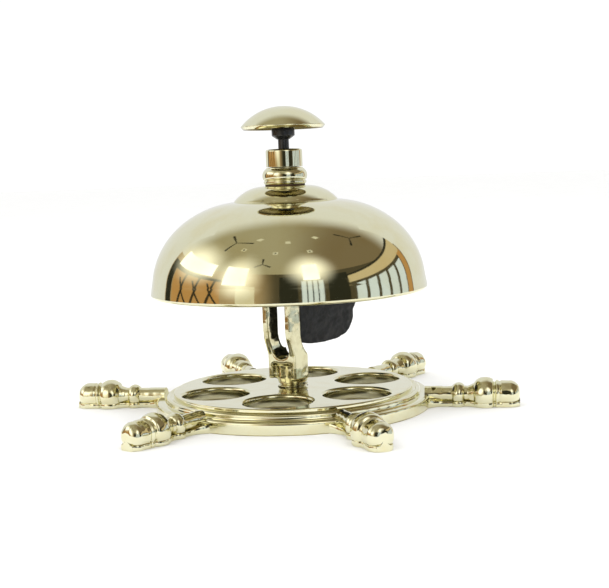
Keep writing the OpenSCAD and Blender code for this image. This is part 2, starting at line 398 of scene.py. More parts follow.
def moved(solid, matrix):
    """The solid with its points moved by a 4x4 matrix."""
    verts, faces = solid
    return [tuple(matrix @ Vector(v)) for v in verts], faces


def make(name, solids, sharp=32, wobble=0.0, wobble_size=5.0):
    """One mesh object, in metres, from solids in millimetres. Wobble is how far a casting's
    surface strays."""
    bm = bmesh.new()
    for verts, faces in solids:
        made = [bm.verts.new(v) for v in verts]
        for face in faces:
            try:
                bm.faces.new([made[i] for i in face])
            except ValueError:
                continue
    bmesh.ops.remove_doubles(bm, verts=bm.verts, dist=1e-5)
    bmesh.ops.dissolve_degenerate(bm, dist=1e-6, edges=bm.edges)
    bmesh.ops.recalc_face_normals(bm, faces=bm.faces)
    if wobble:
        bm.normal_update()
        for v in bm.verts:
            v.co += v.normal * wobble * noise.fractal(v.co / wobble_size, 1.0, 2.0, 2)
            v.co.z = max(v.co.z, 0)
    bmesh.ops.scale(bm, vec=(MM, MM, MM), verts=bm.verts)
    mesh = bpy.data.meshes.new(name)
    bm.to_mesh(mesh)
    bm.free()
    piece = bpy.data.objects.new(name, mesh)
    bpy.context.scene.collection.objects.link(piece)
    smooth(piece, sharp)
    return piece


def smooth(piece, sharp=32):
    """Smooth shading, broken where faces meet at more than sharp degrees."""
    mesh = piece.data
    mesh.shade_smooth()
    mesh.set_sharp_from_angle(angle=math.radians(sharp))


def crease_flats(piece):
    """Breaks the smooth shading where a level face meets a sloping one."""
    bm = bmesh.new()
    bm.from_mesh(piece.data)
    for edge in bm.edges:
        flats = [abs(f.normal.z) > 0.9999 for f in edge.link_faces]
        if len(flats) == 2 and flats[0] != flats[1]:
            edge.smooth = False
    bm.to_mesh(piece.data)
    bm.free()


def cut_below(piece, height):
    """Takes away what is below a height in millimetres, and leaves the cut open."""
    bm = bmesh.new()
    bm.from_mesh(piece.data)
    low = [v for v in bm.verts if v.co.z < height * MM]
    bmesh.ops.delete(bm, geom=low, context="VERTS")
    bm.to_mesh(piece.data)
    bm.free()


def cast_copy(name, node, voxel, rounds, wobble, wobble_size, softer_below=0):
    """A casting made from a CAD node's mesh: its edges softened, more so below a height, and its
    faces dented, by no more than wobble and never outwards."""
    source = frame["nodes"][node]
    piece = bpy.data.objects.new(name, source.data.copy())
    piece.data.materials.clear()
    bpy.context.scene.collection.objects.link(piece)
    remesh = piece.modifiers.new("Remesh", "REMESH")
    remesh.mode = "VOXEL"
    remesh.voxel_size = voxel * MM
    relax = piece.modifiers.new("Relax", "SMOOTH")
    relax.factor = 0.5
    relax.iterations = rounds
    bpy.context.view_layer.update()
    evaluated = piece.evaluated_get(bpy.context.evaluated_depsgraph_get())
    mesh = bpy.data.meshes.new_from_object(evaluated)
    piece.modifiers.clear()
    piece.data = mesh
    mesh.name = name
    bm = bmesh.new()
    bm.from_mesh(mesh)
    thick = [v for v in bm.verts if v.co.z < softer_below * MM]
    for _ in range(EXTRA_ROUNDS if thick else 0):
        bmesh.ops.smooth_vert(
            bm, verts=thick, factor=0.5, use_axis_x=True, use_axis_y=True, use_axis_z=True
        )
    bm.normal_update()
    for v in bm.verts:
        sway = noise.fractal(v.co / (wobble_size * MM), 1.0, 2.0, 3)
        v.co += v.normal * wobble * MM * max(-1, min(0, 0.5 * sway - 0.5))
    bm.to_mesh(mesh)
    bm.free()
    smooth(piece, CAST_SHARP)
    return piece


# ---- Materials ----


def nodes_of(name):
    """A new node material: (material, nodes, links, shader)."""
    material = bpy.data.materials.new(name)
    material.use_nodes = True
    tree = material.node_tree
    return material, tree.nodes, tree.links, tree.nodes["Principled BSDF"]


def noise_node(nodes, links, size, detail=3.0, stretch=(1, 1, 1), roughness=0.55):
    """Noise over the surface, with features about size millimetres across."""
    place = nodes.new("ShaderNodeTexCoord")
    mapping = nodes.new("ShaderNodeMapping")
    mapping.inputs["Scale"].default_value = stretch
    texture = nodes.new("ShaderNodeTexNoise")
    texture.inputs["Scale"].default_value = 1 / (size * MM)
    texture.inputs["Detail"].default_value = detail
    texture.inputs["Roughness"].default_value = roughness
    links.new(place.outputs["Object"], mapping.inputs["Vector"])
    links.new(mapping.outputs["Vector"], texture.inputs["Vector"])
    return texture


def ramp(nodes, links, source, low, high, start=0.35, stop=0.65):
    """Colours or values from low to high as source goes from start to stop."""
    node = nodes.new("ShaderNodeValToRGB")
    node.color_ramp.elements[0].position = start
    node.color_ramp.elements[1].position = stop
    node.color_ramp.elements[0].color = low if hasattr(low, "__len__") else (low, low, low, 1)
    node.color_ramp.elements[1].color = high if hasattr(high, "__len__") else (high, high, high, 1)
    links.new(source.outputs["Fac"], node.inputs["Fac"])
    return node


def bump(nodes, links, source, depth, below=None):
    """A bump of depth millimetres, on top of the bump below."""
    node = nodes.new("ShaderNodeBump")
    node.inputs["Strength"].default_value = 1.0
    node.inputs["Distance"].default_value = depth * MM
    links.new(source.outputs["Fac"], node.inputs["Height"])
    if below:
        links.new(below.outputs["Normal"], node.inputs["Normal"])
    return node


def metal(name, colour, tarnish, roughness, layers, patch=9.0):
    """A metal whose colour drifts towards tarnish and whose roughness runs between two values.
    Layers are bumps: (feature size, depth, stretch)."""
    material, nodes, links, shader = nodes_of(name)
    shader.inputs["Metallic"].default_value = 1.0
    drift = noise_node(nodes, links, patch, 5.0)
    tint = ramp(nodes, links, drift, colour, tarnish, 0.45, 0.8)
    links.new(tint.outputs["Color"], shader.inputs["Base Color"])
    wear = noise_node(nodes, links, patch / 3, 6.0, roughness=0.7)
    gloss = ramp(nodes, links, wear, *roughness)
    links.new(gloss.outputs["Color"], shader.inputs["Roughness"])
    below = None
    for size, depth, stretch in layers:
        below = bump(nodes, links, noise_node(nodes, links, size, 2.0, stretch), depth, below)
    if below:
        links.new(below.outputs["Normal"], shader.inputs["Normal"])
    return material


def dull(name, colour, dark, roughness, layers, patch=6.0, specular=0.5):
    """A non-metal surface with the same kind of drift in colour and roughness."""
    material = metal(name, colour, dark, roughness, layers, patch)
    shader = material.node_tree.nodes["Principled BSDF"]
    shader.inputs["Metallic"].default_value = 0.0
    shader.inputs["Specular IOR Level"].default_value = specular
    return material


EVEN = (1, 1, 1)
BRASS = (0.79, 0.765, 0.54, 1)
BRASS_WARM = (0.76, 0.70, 0.43, 1)

polished = metal("polished_brass", BRASS, BRASS_WARM, (0.035, 0.075),
                 [(14, 0.012, EVEN), (0.9, 0.0002, (1, 1, 6))])
cast = metal("cast_brass", BRASS, BRASS_WARM, (0.05, 0.11), [(5, 0.012, EVEN), (0.8, 0.0006, EVEN)], 5)
yoke_brass = metal("cast_brass_bracket", (0.66, 0.63, 0.42, 1), (0.44, 0.38, 0.20, 1), (0.05, 0.13),
                   [(4.5, 0.09, EVEN), (0.8, 0.0008, EVEN)], 4)
raw_cast = metal("cast_brass_underside", (0.62, 0.55, 0.30, 1), (0.34, 0.27, 0.13, 1), (0.32, 0.5),
                 [(2.2, 0.06, EVEN), (0.5, 0.02, EVEN)], 7)
turned = metal("turned_brass_inside", (0.70, 0.64, 0.38, 1), (0.50, 0.41, 0.20, 1), (0.2, 0.34),
               [(6, 0.01, EVEN), (0.5, 0.004, (0.1, 0.1, 5))], 12)
# Painted shade: a dark brass for the push button's underside, which stands in for the shade under the cap,
# with a rougher finish than the dome.
button_shade_brass = metal("painted_shade_brass", (0.24, 0.20, 0.10, 1), (0.15, 0.12, 0.06, 1), (0.16, 0.28),
                  [(6, 0.01, EVEN)], 8)
steel = metal("steel", (0.60, 0.60, 0.61, 1), (0.36, 0.35, 0.34, 1), (0.22, 0.38),
              [(0.5, 0.003, (1, 1, 6))], 4)
spring_steel = metal("spring_steel", (0.48, 0.48, 0.50, 1), (0.30, 0.29, 0.28, 1), (0.18, 0.3),
                     [(0.4, 0.002, EVEN)], 3)
black_steel = dull("black_steel", (0.012, 0.013, 0.013, 1), (0.030, 0.029, 0.027, 1), (0.26, 0.40),
                   [(0.9, 0.006, EVEN)], 2.5, 0.6)
iron = dull("cast_iron", (0.008, 0.009, 0.009, 1), (0.020, 0.019, 0.017, 1), (0.42, 0.66),
            [(2.4, 0.12, EVEN), (0.55, 0.05, EVEN)], 4, 0.35)
fibre = dull("fibre", (0.090, 0.052, 0.028, 1), (0.045, 0.026, 0.015, 1), (0.7, 0.85),
             [(0.25, 0.02, EVEN)], 0.8, 0.3)


def finish_piece(piece, node, slot, *materials):
    """The piece stands for a CAD node, rides on that node's body and takes the given materials. Slot is not
    used.
    """
    for material in materials:
        piece.data.materials.append(material)
    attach(piece, frame["nodes"][node]["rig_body"])
    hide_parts(node)
    return piece


def paint(piece, index, test):
    """Gives material index to the faces whose centre and normal, in millimetres, pass the test."""
    for polygon in piece.data.polygons:
        if test(polygon.center / MM, polygon.normal):
            polygon.material_index = index


# ---- Wheel base ----


def wheel_ring():
    """The moulded ring outside the pierced plate: a ledge, a bead above it and the plate's edge."""
    bead = arc(PLATE_EDGE_R + 1.8, PLATE_TOP - 2, 0.9, -12, 150, 14)
    outline = [(PLATE_JOIN_R, PLATE_LOW, 0), (RING_INNER_R, PLATE_LOW, 0.5), (RING_INNER_R, 0, 0.3),
               (WHEEL_R, 0, 0.4), (WHEEL_R, LEDGE_Z, 1.0), (PLATE_EDGE_R + 2.9, LEDGE_Z, 0.15)]
    outline += [(x, z, 0) for x, z in bead]
    outline += [(PLATE_EDGE_R, PLATE_TOP - 1.9, 0.2), (PLATE_EDGE_R, PLATE_TOP, 0.6),
                (PLATE_JOIN_R, PLATE_TOP, 0)]
    return lathe(rounded(outline, 0, 6, closed=True), 240)


def wheel_plate():
    """The flat plate with its six round holes and the pocket for the nut."""
    rim = soft_rim(PLATE_TOP, PLATE_LOW, HOLE_ROUND)
    loops = [(circle(0, 0, PLATE_JOIN_R, 240), [(0, PLATE_TOP), (0, PLATE_LOW)])]
    for k in range(HANDLES):
        a = math.radians(HANDLE_TURN * (k + 0.5))
        loops.append((circle(HOLE_PITCH_R * math.cos(a), HOLE_PITCH_R * math.sin(a), HOLE_R), rim))
    step = FOOT_R - POCKET_R + 0.1
    loops.append((circle(0, 0, FOOT_R + 0.1),
                  [(0, PLATE_TOP), (0, POCKET_Z), (step, POCKET_Z), (step, PLATE_LOW)]))
    return slab(loops, PLATE_TOP, PLATE_LOW)


def swell(x, z, half_length, depth, start, stop, step):
    """Handle points round part of an ellipse, which carry no rounding of their own."""
    angles = np.radians(np.arange(start, stop, -step))
    return [(x + half_length * math.cos(a), z + depth * math.sin(a), 0) for a in angles]


def handle_profile():
    """Radius of a handle's turned part along its length, as (distance from the bell's axis, radius):
    a neck, a small swell, a long one, a narrow collar and a round tip."""
    tip = HANDLE_TIP
    points = [(WHEEL_R - 1.6, 2.6, 0), (tip - 22.4, 2.5, 0.8)]
    points += swell(tip - 19.9, 1.4, 2.3, 2.3, 150, 29, 10)
    points += [(tip - 16.8, 2.5, 0.9)]
    points += swell(tip - 11.2, 2.4, 3.9, 3.0, 160, 43, 9)
    points += [(tip - 8.2, 3.7, 0.2), (tip - 7.4, 4.6, 0.45), (tip - 6.6, 4.0, 0.25), (tip - 5.9, 4.3, 0.4)]
    points += swell(tip - 3.3, 0.95, 3.3, 3.3, 81, -1, 9)
    return resampled(rounded(points, 0.3, 4), 0.3)


def handle():
    """One handle along +X: a turned form, sunk into a low web which flares where it meets the ring."""
    rows = []
    for x, r in handle_profile():
        flare = max(0, 1 - (x - WHEEL_R + 1.6) / 6.2)
        web_top = WEB_TOP + 1.7 * flare**1.5
        low_angle = -math.asin(min((HANDLE_Z - web_top) / r, 0.95))
        angles = np.linspace(math.pi / 2, low_angle, 26)
        half = [(r * math.cos(a), HANDLE_Z + r * math.sin(a)) for a in angles]
        web = max(0.9 * r, min(2.3, 1.4 * r), half[-1][0] + 0.05) + 4.2 * flare**2
        half += [(web - 0.12, web_top), (web, web_top - 0.15), (web, 0.5 * web_top), (web, 0.35),
                 (web - 0.1, 0.1), (web - 0.35, 0)]
        mirrored = [(-y, z) for y, z in half[:0:-1]]
        rows.append([(x, y, z) for y, z in half + mirrored])
    return loft(rows)


plate_piece = make("wheel_plate", [wheel_ring(), wheel_plate()])
crease_flats(plate_piece)
finish_piece(plate_piece, "wheel_base", "cast_brass", cast, raw_cast)
paint(plate_piece, 1, lambda c, n: n.z < -0.3 and c.z < POCKET_Z + 0.1)

turns = [Matrix.Rotation(math.radians(HANDLE_TURN * k), 4, "Z") for k in range(HANDLES)]
handle_piece = make("wheel_handles", [moved(handle(), turn) for turn in turns], 40,
                    wobble=0.12, wobble_size=2.6)
finish_piece(handle_piece, "wheel_base", "cast_brass", cast, raw_cast)
paint(handle_piece, 1, lambda c, n: n.z < -0.5 and c.z < 0.5)

foot_washer = washer(FOOT_WASHER_R, FOOT_R + 0.2, POCKET_Z - FOOT_WASHER_T, FOOT_WASHER_T)
finish_piece(make("foot_washer", [foot_washer]), "base_washer", "steel", steel)
foot_nut = hex_nut(FOOT_NUT_FLATS, FOOT_R - BORE_INSET, FOOT_NUT_LOW, NUT_H)
finish_piece(make("foot_nut", [foot_nut]), "base_nut", "steel", steel)


# ---- Bracket, pin and clip ----

bracket = cast_copy("bracket_casting", "bracket", 0.28, 12, 0.2, 7, HUB_TOP + 9)
cut_below(bracket, HUB_LOW - 0.25)
smooth(bracket, CAST_SHARP)
finish_piece(bracket, "bracket", "cast_brass", yoke_brass)
foot_thread = thread(FOOT_R, FOOT_PITCH, FOOT_NUT_LOW, HUB_LOW + 0.3, 0.02)
finish_piece(make("foot_thread", [foot_thread], 50), "bracket", "cast_brass", yoke_brass)

along_y = Matrix.Translation((PIN[0], 0, PIN[1])) @ Matrix.Rotation(math.radians(-90), 4, "X")
reach = ARM_OUT_Y + 0.1
pin_profile = [(0, -ARM_OUT_Y - 1, 0), (PIN_HEAD_R, -ARM_OUT_Y - 1, 0.5), (PIN_HEAD_R, -ARM_OUT_Y, 0.2),
               (PIN_R, -ARM_OUT_Y, 0), (PIN_R, reach, 0.1), (PIN_GROOVE_R, reach, 0),
               (PIN_GROOVE_R, reach + CLIP_T, 0), (PIN_R, reach + CLIP_T, 0.1),
               (PIN_R, reach + 1.2, 0.2), (1.1, reach + 1.6, 0.2), (0, reach + 1.6, 0)]
pin = make("pivot_pin_turned", [moved(lathe(rounded(pin_profile, 0.1, 4), 64, closed=False), along_y)])
finish_piece(pin, "pivot_pin", "steel", steel)
quarter = Matrix.Rotation(math.radians(90), 4, "Z")
pin_clip = moved(open_clip(2.9, PIN_GROOVE_R, reach, CLIP_T), along_y @ quarter)
finish_piece(make("pin_clip_pressed", [pin_clip]), "pin_clip", "steel", steel)


# ---- Tube, nuts and bell ----

WIDE_BORE_R = ROD_R + SLIDE_GAP
THIN_BORE_R = ROD_THIN_R + SLIDE_GAP
stem_bore = lathe([(WIDE_BORE_R, SPRING_LOW), (WIDE_BORE_R, STEM_TOP), (STEM_R - 0.5, STEM_TOP),
                   (STEM_R - 0.7, BRIDGE_LOW), (THIN_BORE_R, BRIDGE_LOW), (THIN_BORE_R, SPRING_LOW)], 64)
stem_thread = thread(STEM_R, STEM_PITCH, BRIDGE_LOW, STEM_TOP, STEM_R - 0.8)
finish_piece(make("threaded_tube", [stem_thread, stem_bore], 50), "bell_stem", "steel", steel)
lock_nut = hex_nut(STEM_NUT_FLATS, STEM_R - BORE_INSET, BRIDGE_TOP, NUT_H)
finish_piece(make("lock_nut", [lock_nut]), "stem_locknut", "steel", steel)


def angle_at(cx, r, x):
    """Angle at which a circle of radius r round (cx, z) reaches the radius x."""
    return math.degrees(math.acos((x - cx) / r))


# The bell's section: its side is an arc round SIDE_C, which runs on smoothly into the shoulder's
# arc and ends at a groove, the crown's foot. The crown rises from there with a round edge between
# its side's slope and its top's. Inside, the walls follow at BELL_WALL under a domed crown.
SIDE_C = (BELL_R - 27.6, LIP_Z + 2)
SIDE_R = 27.0
SIDE_ANGLE = 51.0
SHOULDER_R = 33.0
SHOULDER_C = (SIDE_C[0] - (SHOULDER_R - SIDE_R) * math.cos(math.radians(SIDE_ANGLE)),
              SIDE_C[1] - (SHOULDER_R - SIDE_R) * math.sin(math.radians(SIDE_ANGLE)))
CROWN_FOOT_R = 17.6
CROWN_FLAT_R = 7.4
CROWN_ARC_R = 27.3
CROWN_ROUND_R = 13.5
CROWN_TOP_SLOPE = 2.0
CROWN_SIDE_SLOPE = 48.0
SEAT_R = 8.0
CROWN_C = CROWN_Z - math.sqrt(CROWN_ARC_R**2 - CROWN_FLAT_R**2)
INNER_CROWN_R = CROWN_ARC_R - BELL_WALL
SEAT_Z = CROWN_C + math.sqrt(INNER_CROWN_R**2 - SEAT_R**2)


def bell_profile():
    """Half section of the bell, from the lip up the outside and down the inside."""
    foot_angle = angle_at(SHOULDER_C[0], SHOULDER_R, CROWN_FOOT_R)
    inner_foot = angle_at(SHOULDER_C[0], SHOULDER_R - BELL_WALL, CROWN_FOOT_R - 2)
    lip = arc(BELL_R - 1.3, LIP_Z + 1.3, 1.3, 225, 350, 14)
    side = arc(*SIDE_C, SIDE_R, 7, SIDE_ANGLE, 44)
    shoulder = arc(*SHOULDER_C, SHOULDER_R, SIDE_ANGLE, foot_angle, 22)[1:-1]
    slope = math.radians(CROWN_TOP_SLOPE)
    crown = arc(CROWN_FLAT_R - CROWN_ROUND_R * math.sin(slope), CROWN_Z - CROWN_ROUND_R * math.cos(slope),
                CROWN_ROUND_R, 90 - CROWN_SIDE_SLOPE, 90 - CROWN_TOP_SLOPE, 22)
    foot = rounded([shoulder[-1], (CROWN_FOOT_R - 0.35, shoulder[-1][1] + 0.02, 0.3), crown[0]], 0.3, 6)
    inside = arc(0, CROWN_C, INNER_CROWN_R, angle_at(0, INNER_CROWN_R, SEAT_R),
                 angle_at(0, INNER_CROWN_R, CROWN_FOOT_R - 4), 12)
    inside += arc(*SHOULDER_C, SHOULDER_R - BELL_WALL, inner_foot, SIDE_ANGLE, 18)
    inside += arc(*SIDE_C, SIDE_R - BELL_WALL, SIDE_ANGLE, 0, 30)[1:]
    top = [(STEM_R + 0.1, CROWN_Z), (STEM_R + 0.1, SEAT_Z)]
    return lip + side + shoulder + foot[1:-1] + crown + top + inside


bell = make("bell_shell", [lathe(bell_profile(), 288)], 40)
finish_piece(bell, "bell", "polished_brass", polished, turned)


def is_inside(c, n):
    """Whether a face of the bell, by its centre and normal, belongs to the inside."""
    towards_middle = n.x * c.x + n.y * c.y + n.z * (c.z - 20) < 0
    below_crown = LIP_Z - 0.1 < c.z < CROWN_Z - 0.5
    return towards_middle and below_crown and math.hypot(c.x, c.y) < BELL_R - 1.2


paint(bell, 1, is_inside)

SEAT_WASHER_T = 0.8
SEAT_NUT_H = 3.5
SEAT_WASHER_R = 7.6
CROWN_WASHER_R = 6.6
seat_nut = hex_nut(STEM_NUT_FLATS, STEM_R - BORE_INSET, SEAT_Z - SEAT_WASHER_T - SEAT_NUT_H, SEAT_NUT_H)
finish_piece(make("seat_nut_hex", [seat_nut]), "seat_nut", "steel", steel)
seat_washer = washer(SEAT_WASHER_R, STEM_R, SEAT_Z - SEAT_WASHER_T, SEAT_WASHER_T)
finish_piece(make("seat_washer_disc", [seat_washer]), "seat_washer", "fibre", fibre)
crown_washer = washer(CROWN_WASHER_R, STEM_R, CROWN_Z, BEAD_Z - CROWN_Z, 0.2)
finish_piece(make("crown_washer_disc", [crown_washer]), "crown_washer", "fibre", fibre)

bead_mid = (BEAD_Z + BEAD_TOP) / 2
bead_profile = [(STEM_R, BEAD_Z, 0), (6.6, BEAD_Z, 0.3), (7.1, BEAD_Z + 0.5, 0.3), (7.1, BEAD_Z + 1.0, 0.2),
                (6.8, BEAD_Z + 1.2, 0.15), (6.9, BEAD_Z + 1.4, 0.1)]
bead_profile += [(x, z, 0) for x, z in arc(4.65, bead_mid, 2.8, -26, 58, 18)]
bead_profile += [(6.1, BEAD_TOP - 0.25, 0.4), (STEM_R, BEAD_TOP, 0)]
finish_piece(make("bead_nut", [lathe(rounded(bead_profile, 0, 4, closed=True), 160)], 50),
             "bell_nut", "polished_brass", polished)
guide_profile = [(STEM_R, BEAD_TOP, 0), (6.05, BEAD_TOP, 0.1), (6.05, GUIDE_TOP - 0.25, 1.5),
                 (4.9, GUIDE_TOP, 0.9), (WIDE_BORE_R, GUIDE_TOP, 0.3), (WIDE_BORE_R, GUIDE_TOP - 1.7, 0),
                 (STEM_R, GUIDE_TOP - 1.7, 0)]
finish_piece(make("guide_cap", [lathe(rounded(guide_profile, 0, 5, closed=True), 160)], 50),
             "guide_nut", "polished_brass", polished)


# ---- Spring, rod and button ----


def coil(mean_r, wire_r, low, top, turns, steps=30, sides=10):
    """A right-hand compression spring whose end turns lie close."""
    rows = []
    for i in range(turns * steps + 1):
        t = i / (turns * steps)
        eased = t - 0.056 * math.sin(2 * math.pi * t)
        z = low + wire_r + (top - low - 2 * wire_r) * eased
        a = 2 * math.pi * i / steps
        row = []
        for k in range(sides):
            b = 2 * math.pi * k / sides
            r = mean_r + wire_r * math.cos(b)
            row.append((r * math.cos(a), r * math.sin(a), z + wire_r * math.sin(b)))
        rows.append(row)
    return loft(rows)


spring_wire = coil(1.525, 0.25, SPRING_LOW + 0.02, SPRING_TOP - 0.02, SPRING_TURNS)
spring = make("return_spring_wire", [spring_wire], 60)
finish_piece(spring, "return_spring", "steel", spring_steel)
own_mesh(spring)

rod_profile = [(x, z, 0) for x, z in arc(0, ROD_END + ROD_THIN_R, ROD_THIN_R, -90, 0, 10)]
rod_profile += [(ROD_THIN_R, ROD_CLIP_Z, 0.05), (ROD_GROOVE_R, ROD_CLIP_Z, 0),
                (ROD_GROOVE_R, ROD_CLIP_Z + CLIP_T, 0), (ROD_THIN_R, ROD_CLIP_Z + CLIP_T, 0.05),
                (ROD_THIN_R, SPRING_TOP, 0), (ROD_R, SPRING_TOP, 0.2), (ROD_R, COLLAR_TOP + 0.4, 0.1),
                (ROD_END_R, COLLAR_TOP + 0.4, 0), (ROD_END_R, ROD_TOP, 0), (0, ROD_TOP, 0)]
finish_piece(make("rod_turned", [lathe(rounded(rod_profile, 0, 4), 96, closed=False)], 50),
             "plunger_rod", "black_steel", black_steel)
rod_clip = open_clip(2.6, ROD_GROOVE_R, ROD_CLIP_Z, CLIP_T)
finish_piece(make("rod_clip_pressed", [rod_clip]), "rod_clip", "steel", steel)
collar_profile = [(ROD_R, COLLAR_LOW, 0), (ROD_R + 0.3, COLLAR_LOW, 0.1), (ROD_R + 2, COLLAR_LOW + 1.2, 0.35),
                  (ROD_R + 2, COLLAR_TOP, 0.3), (ROD_R, COLLAR_TOP, 0)]
finish_piece(make("collar_turned", [lathe(rounded(collar_profile, 0, 5, closed=True), 120)], 50),
             "stop_collar", "black_steel", black_steel)


def button_profile():
    """Half section of the push button: a dome with a rolled rim over a short boss."""
    centre = BUTTON_TOP - BUTTON_ARC_R
    inner = BUTTON_ARC_R - BUTTON_WALL
    rim = angle_at(0, BUTTON_ARC_R, BUTTON_R)
    inner_rim = angle_at(0, inner, BUTTON_R - 0.9)
    dome = arc(0, centre, BUTTON_ARC_R, 90, rim, 48)
    under = arc(0, centre, inner, inner_rim, angle_at(0, inner, BOSS_R), 20)
    edge = rounded([dome[-2], (*dome[-1], 0.5), (*under[0], 0.4), under[1]], 0.4, 5)
    boss = [(BOSS_R, COLLAR_TOP), (ROD_END_R, COLLAR_TOP), (ROD_END_R, ROD_TOP), (0, ROD_TOP)]
    return dome[:-1] + edge[1:-1] + under[1:] + boss


button = make("button_dome", [lathe(button_profile(), 192, closed=False)], 50)
finish_piece(button, "push_button", "polished_brass", polished, button_shade_brass)
# The faces under the cap take the dark brass of painted shade.
paint(button, 1, lambda c, n: n.z < 0 and math.hypot(c.x, c.y) < BUTTON_R - 0.6)


# ---- Hammer ----

hammer = cast_copy("hammer_casting", "hammer", 0.3, 5, 0.4, 3.2)
finish_piece(hammer, "hammer", "cast_iron", iron)


# ---- Camera, floor and room ----


def from_view(right, away, up):
    """A direction in the photograph's view turned into the row frame."""
    a = math.radians(-VIEW_AZIMUTH)
    return Vector((right * math.cos(a) + away * math.sin(a), -right * math.sin(a) + away * math.cos(a), up))


camera_data = bpy.data.cameras.new("camera")
camera_data.lens = LENS
camera_data.sensor_width = SENSOR_WIDTH
camera_data.clip_start = 0.01
camera_data.clip_end = 50
camera = bpy.data.objects.new("camera", camera_data)
bpy.context.scene.collection.objects.link(camera)
camera.location = from_view(0, -CAMERA_DISTANCE * MM, CAMERA_HEIGHT * MM)
yaw, pitch = math.radians(CAMERA_YAW), math.radians(CAMERA_PITCH)
ahead = from_view(math.sin(yaw) * math.cos(pitch), math.cos(yaw) * math.cos(pitch), -math.sin(pitch))
turn = ahead.to_track_quat("-Z", "Y").to_matrix().to_4x4()
camera.rotation_euler = (turn @ Matrix.Rotation(math.radians(-CAMERA_ROLL), 4, "Z")).to_euler()
bpy.context.scene.camera = camera
bpy.context.scene.view_settings.view_transform = "Standard"


def stage_mesh(name, verts, faces, material, diffuse=False):
    """A stage piece, which only reflections show unless diffuse is set."""
    mesh = bpy.data.meshes.new(name)
    mesh.from_pydata(verts, [], faces)
    mesh.materials.append(material)
    piece = bpy.data.objects.new(name, mesh)
    bpy.context.scene.collection.objects.link(piece)
    if not diffuse:
        piece.visible_camera = False
        piece.visible_diffuse = False
        piece.visible_shadow = False
    return piece


def floor_material():
    """Matt white paint, which lets a view from below through."""
    material, nodes, links, shader = nodes_of("floor_paint")
    mottle = noise_node(nodes, links, 60, 2.0)
    tint = ramp(nodes, links, mottle, (0.93, 0.93, 0.92, 1), (0.95, 0.95, 0.94, 1))
    links.new(tint.outputs["Color"], shader.inputs["Base Color"])
    shader.inputs["Roughness"].default_value = 0.9
    shader.inputs["Specular IOR Level"].default_value = 0.1
    side = nodes.new("ShaderNodeNewGeometry")
    see_through = nodes.new("ShaderNodeBsdfTransparent")
    either = nodes.new("ShaderNodeMixShader")
    links.new(side.outputs["Backfacing"], either.inputs["Fac"])
    links.new(shader.outputs["BSDF"], either.inputs[1])
    links.new(see_through.outputs["BSDF"], either.inputs[2])
    links.new(either.outputs["Shader"], nodes["Material Output"].inputs["Surface"])
    return material


def floor_ring(name, inner, outer, segments=96):
    """A flat ring of floor, which the camera sees."""
    rows = [ring_points(r, 0, segments) for r in (outer, inner)]
    return stage_mesh(name, *strip(rows), floor_paint, diffuse=True)


floor_paint = floor_material()
floor_ring("table_top", 0.0001, TABLE_R)
floor_ring("floor", TABLE_R, FLOOR_R).visible_glossy = False


def glow(name, colour, *blends):
    """An even glow. Each blend is (other colour, direction, start, stop): the glow turns to the
    other colour as a point of the room goes from start to stop along the direction, as shares of
    the room's radius."""
    material = bpy.data.materials.new(name)
    material.use_nodes = True
    nodes, links = material.node_tree.nodes, material.node_tree.links
    nodes.clear()
    out = nodes.new("ShaderNodeOutputMaterial")
    light = nodes.new("ShaderNodeEmission")
    light.inputs["Color"].default_value = (*colour, 1)
    links.new(light.outputs["Emission"], out.inputs["Surface"])
    place = nodes.new("ShaderNodeTexCoord")
    last = None
    for other, direction, start, stop in blends:
        along = nodes.new("ShaderNodeVectorMath")
        along.operation = "DOT_PRODUCT"
        along.inputs[1].default_value = direction
        span = nodes.new("ShaderNodeMapRange")
        span.interpolation_type = "SMOOTHSTEP"
        span.inputs["From Min"].default_value = start * ROOM_R
        span.inputs["From Max"].default_value = stop * ROOM_R
        mix = nodes.new("ShaderNodeMixRGB")
        mix.inputs["Color1"].default_value = (*colour, 1)
        mix.inputs["Color2"].default_value = (*other, 1)
        links.new(place.outputs["Object"], along.inputs[0])
        links.new(along.outputs["Value"], span.inputs["Value"])
        links.new(span.outputs["Result"], mix.inputs["Fac"])
        if last:
            links.new(last.outputs["Color"], mix.inputs["Color1"])
        links.new(mix.outputs["Color"], light.inputs["Color"])
        last = mix
    return material


def dome_point(azimuth, elevation, radius):
    """A point of the room. Azimuth 0 is towards the photograph's camera, and positive is to its right."""
    a, e = math.radians(azimuth), math.radians(elevation)
    direction = from_view(math.sin(a) * math.cos(e), -math.cos(a) * math.cos(e), math.sin(e))
    return radius * direction + ROOM_CENTRE


def blended(corner_values, u, v):
    """The value at a share u across and v up, from those at the corners, in the order of patch."""
    low_left, low_right, high_right, high_left = corner_values
    low = low_left * (1 - u) + low_right * u
    high = high_left * (1 - u) + high_right * u
    return low * (1 - v) + high * v


def patch(name, corners, material, depth=0, across=24, up=12):
    """A patch of the room between four corners (azimuth, elevation): low left, low right, high
    right, high left. One with a greater depth hangs in front of the others. Its fade attribute is
    1 in its middle and falls to 0 round its edge."""
    azimuths, elevations = zip(*corners)
    radius = ROOM_R * (1 - 0.03 * depth)
    rows, fade = [], []
    for j in range(up + 1):
        v = j / up
        row = []
        for i in range(across + 1):
            u = i / across
            point = dome_point(blended(azimuths, u, v), blended(elevations, u, v), radius)
            row.append(tuple(point))
            inward = max(0, 1 - math.hypot(2 * u - 1, 2 * v - 1))
            fade.append(inward * inward * (3 - 2 * inward))
        rows.append(row)
    piece = stage_mesh(name, *strip(rows, wrap=False), material)
    piece.data.attributes.new("fade", "FLOAT", "POINT").data.foreach_set("value", fade)
    return piece


def box_patch(name, az0, az1, el0, el1, material, depth=1, across=24, up=12):
    """A patch between two azimuths and two elevations."""
    corners = [(az0, el0), (az1, el0), (az1, el1), (az0, el1)]
    return patch(name, corners, material, depth, across, up)


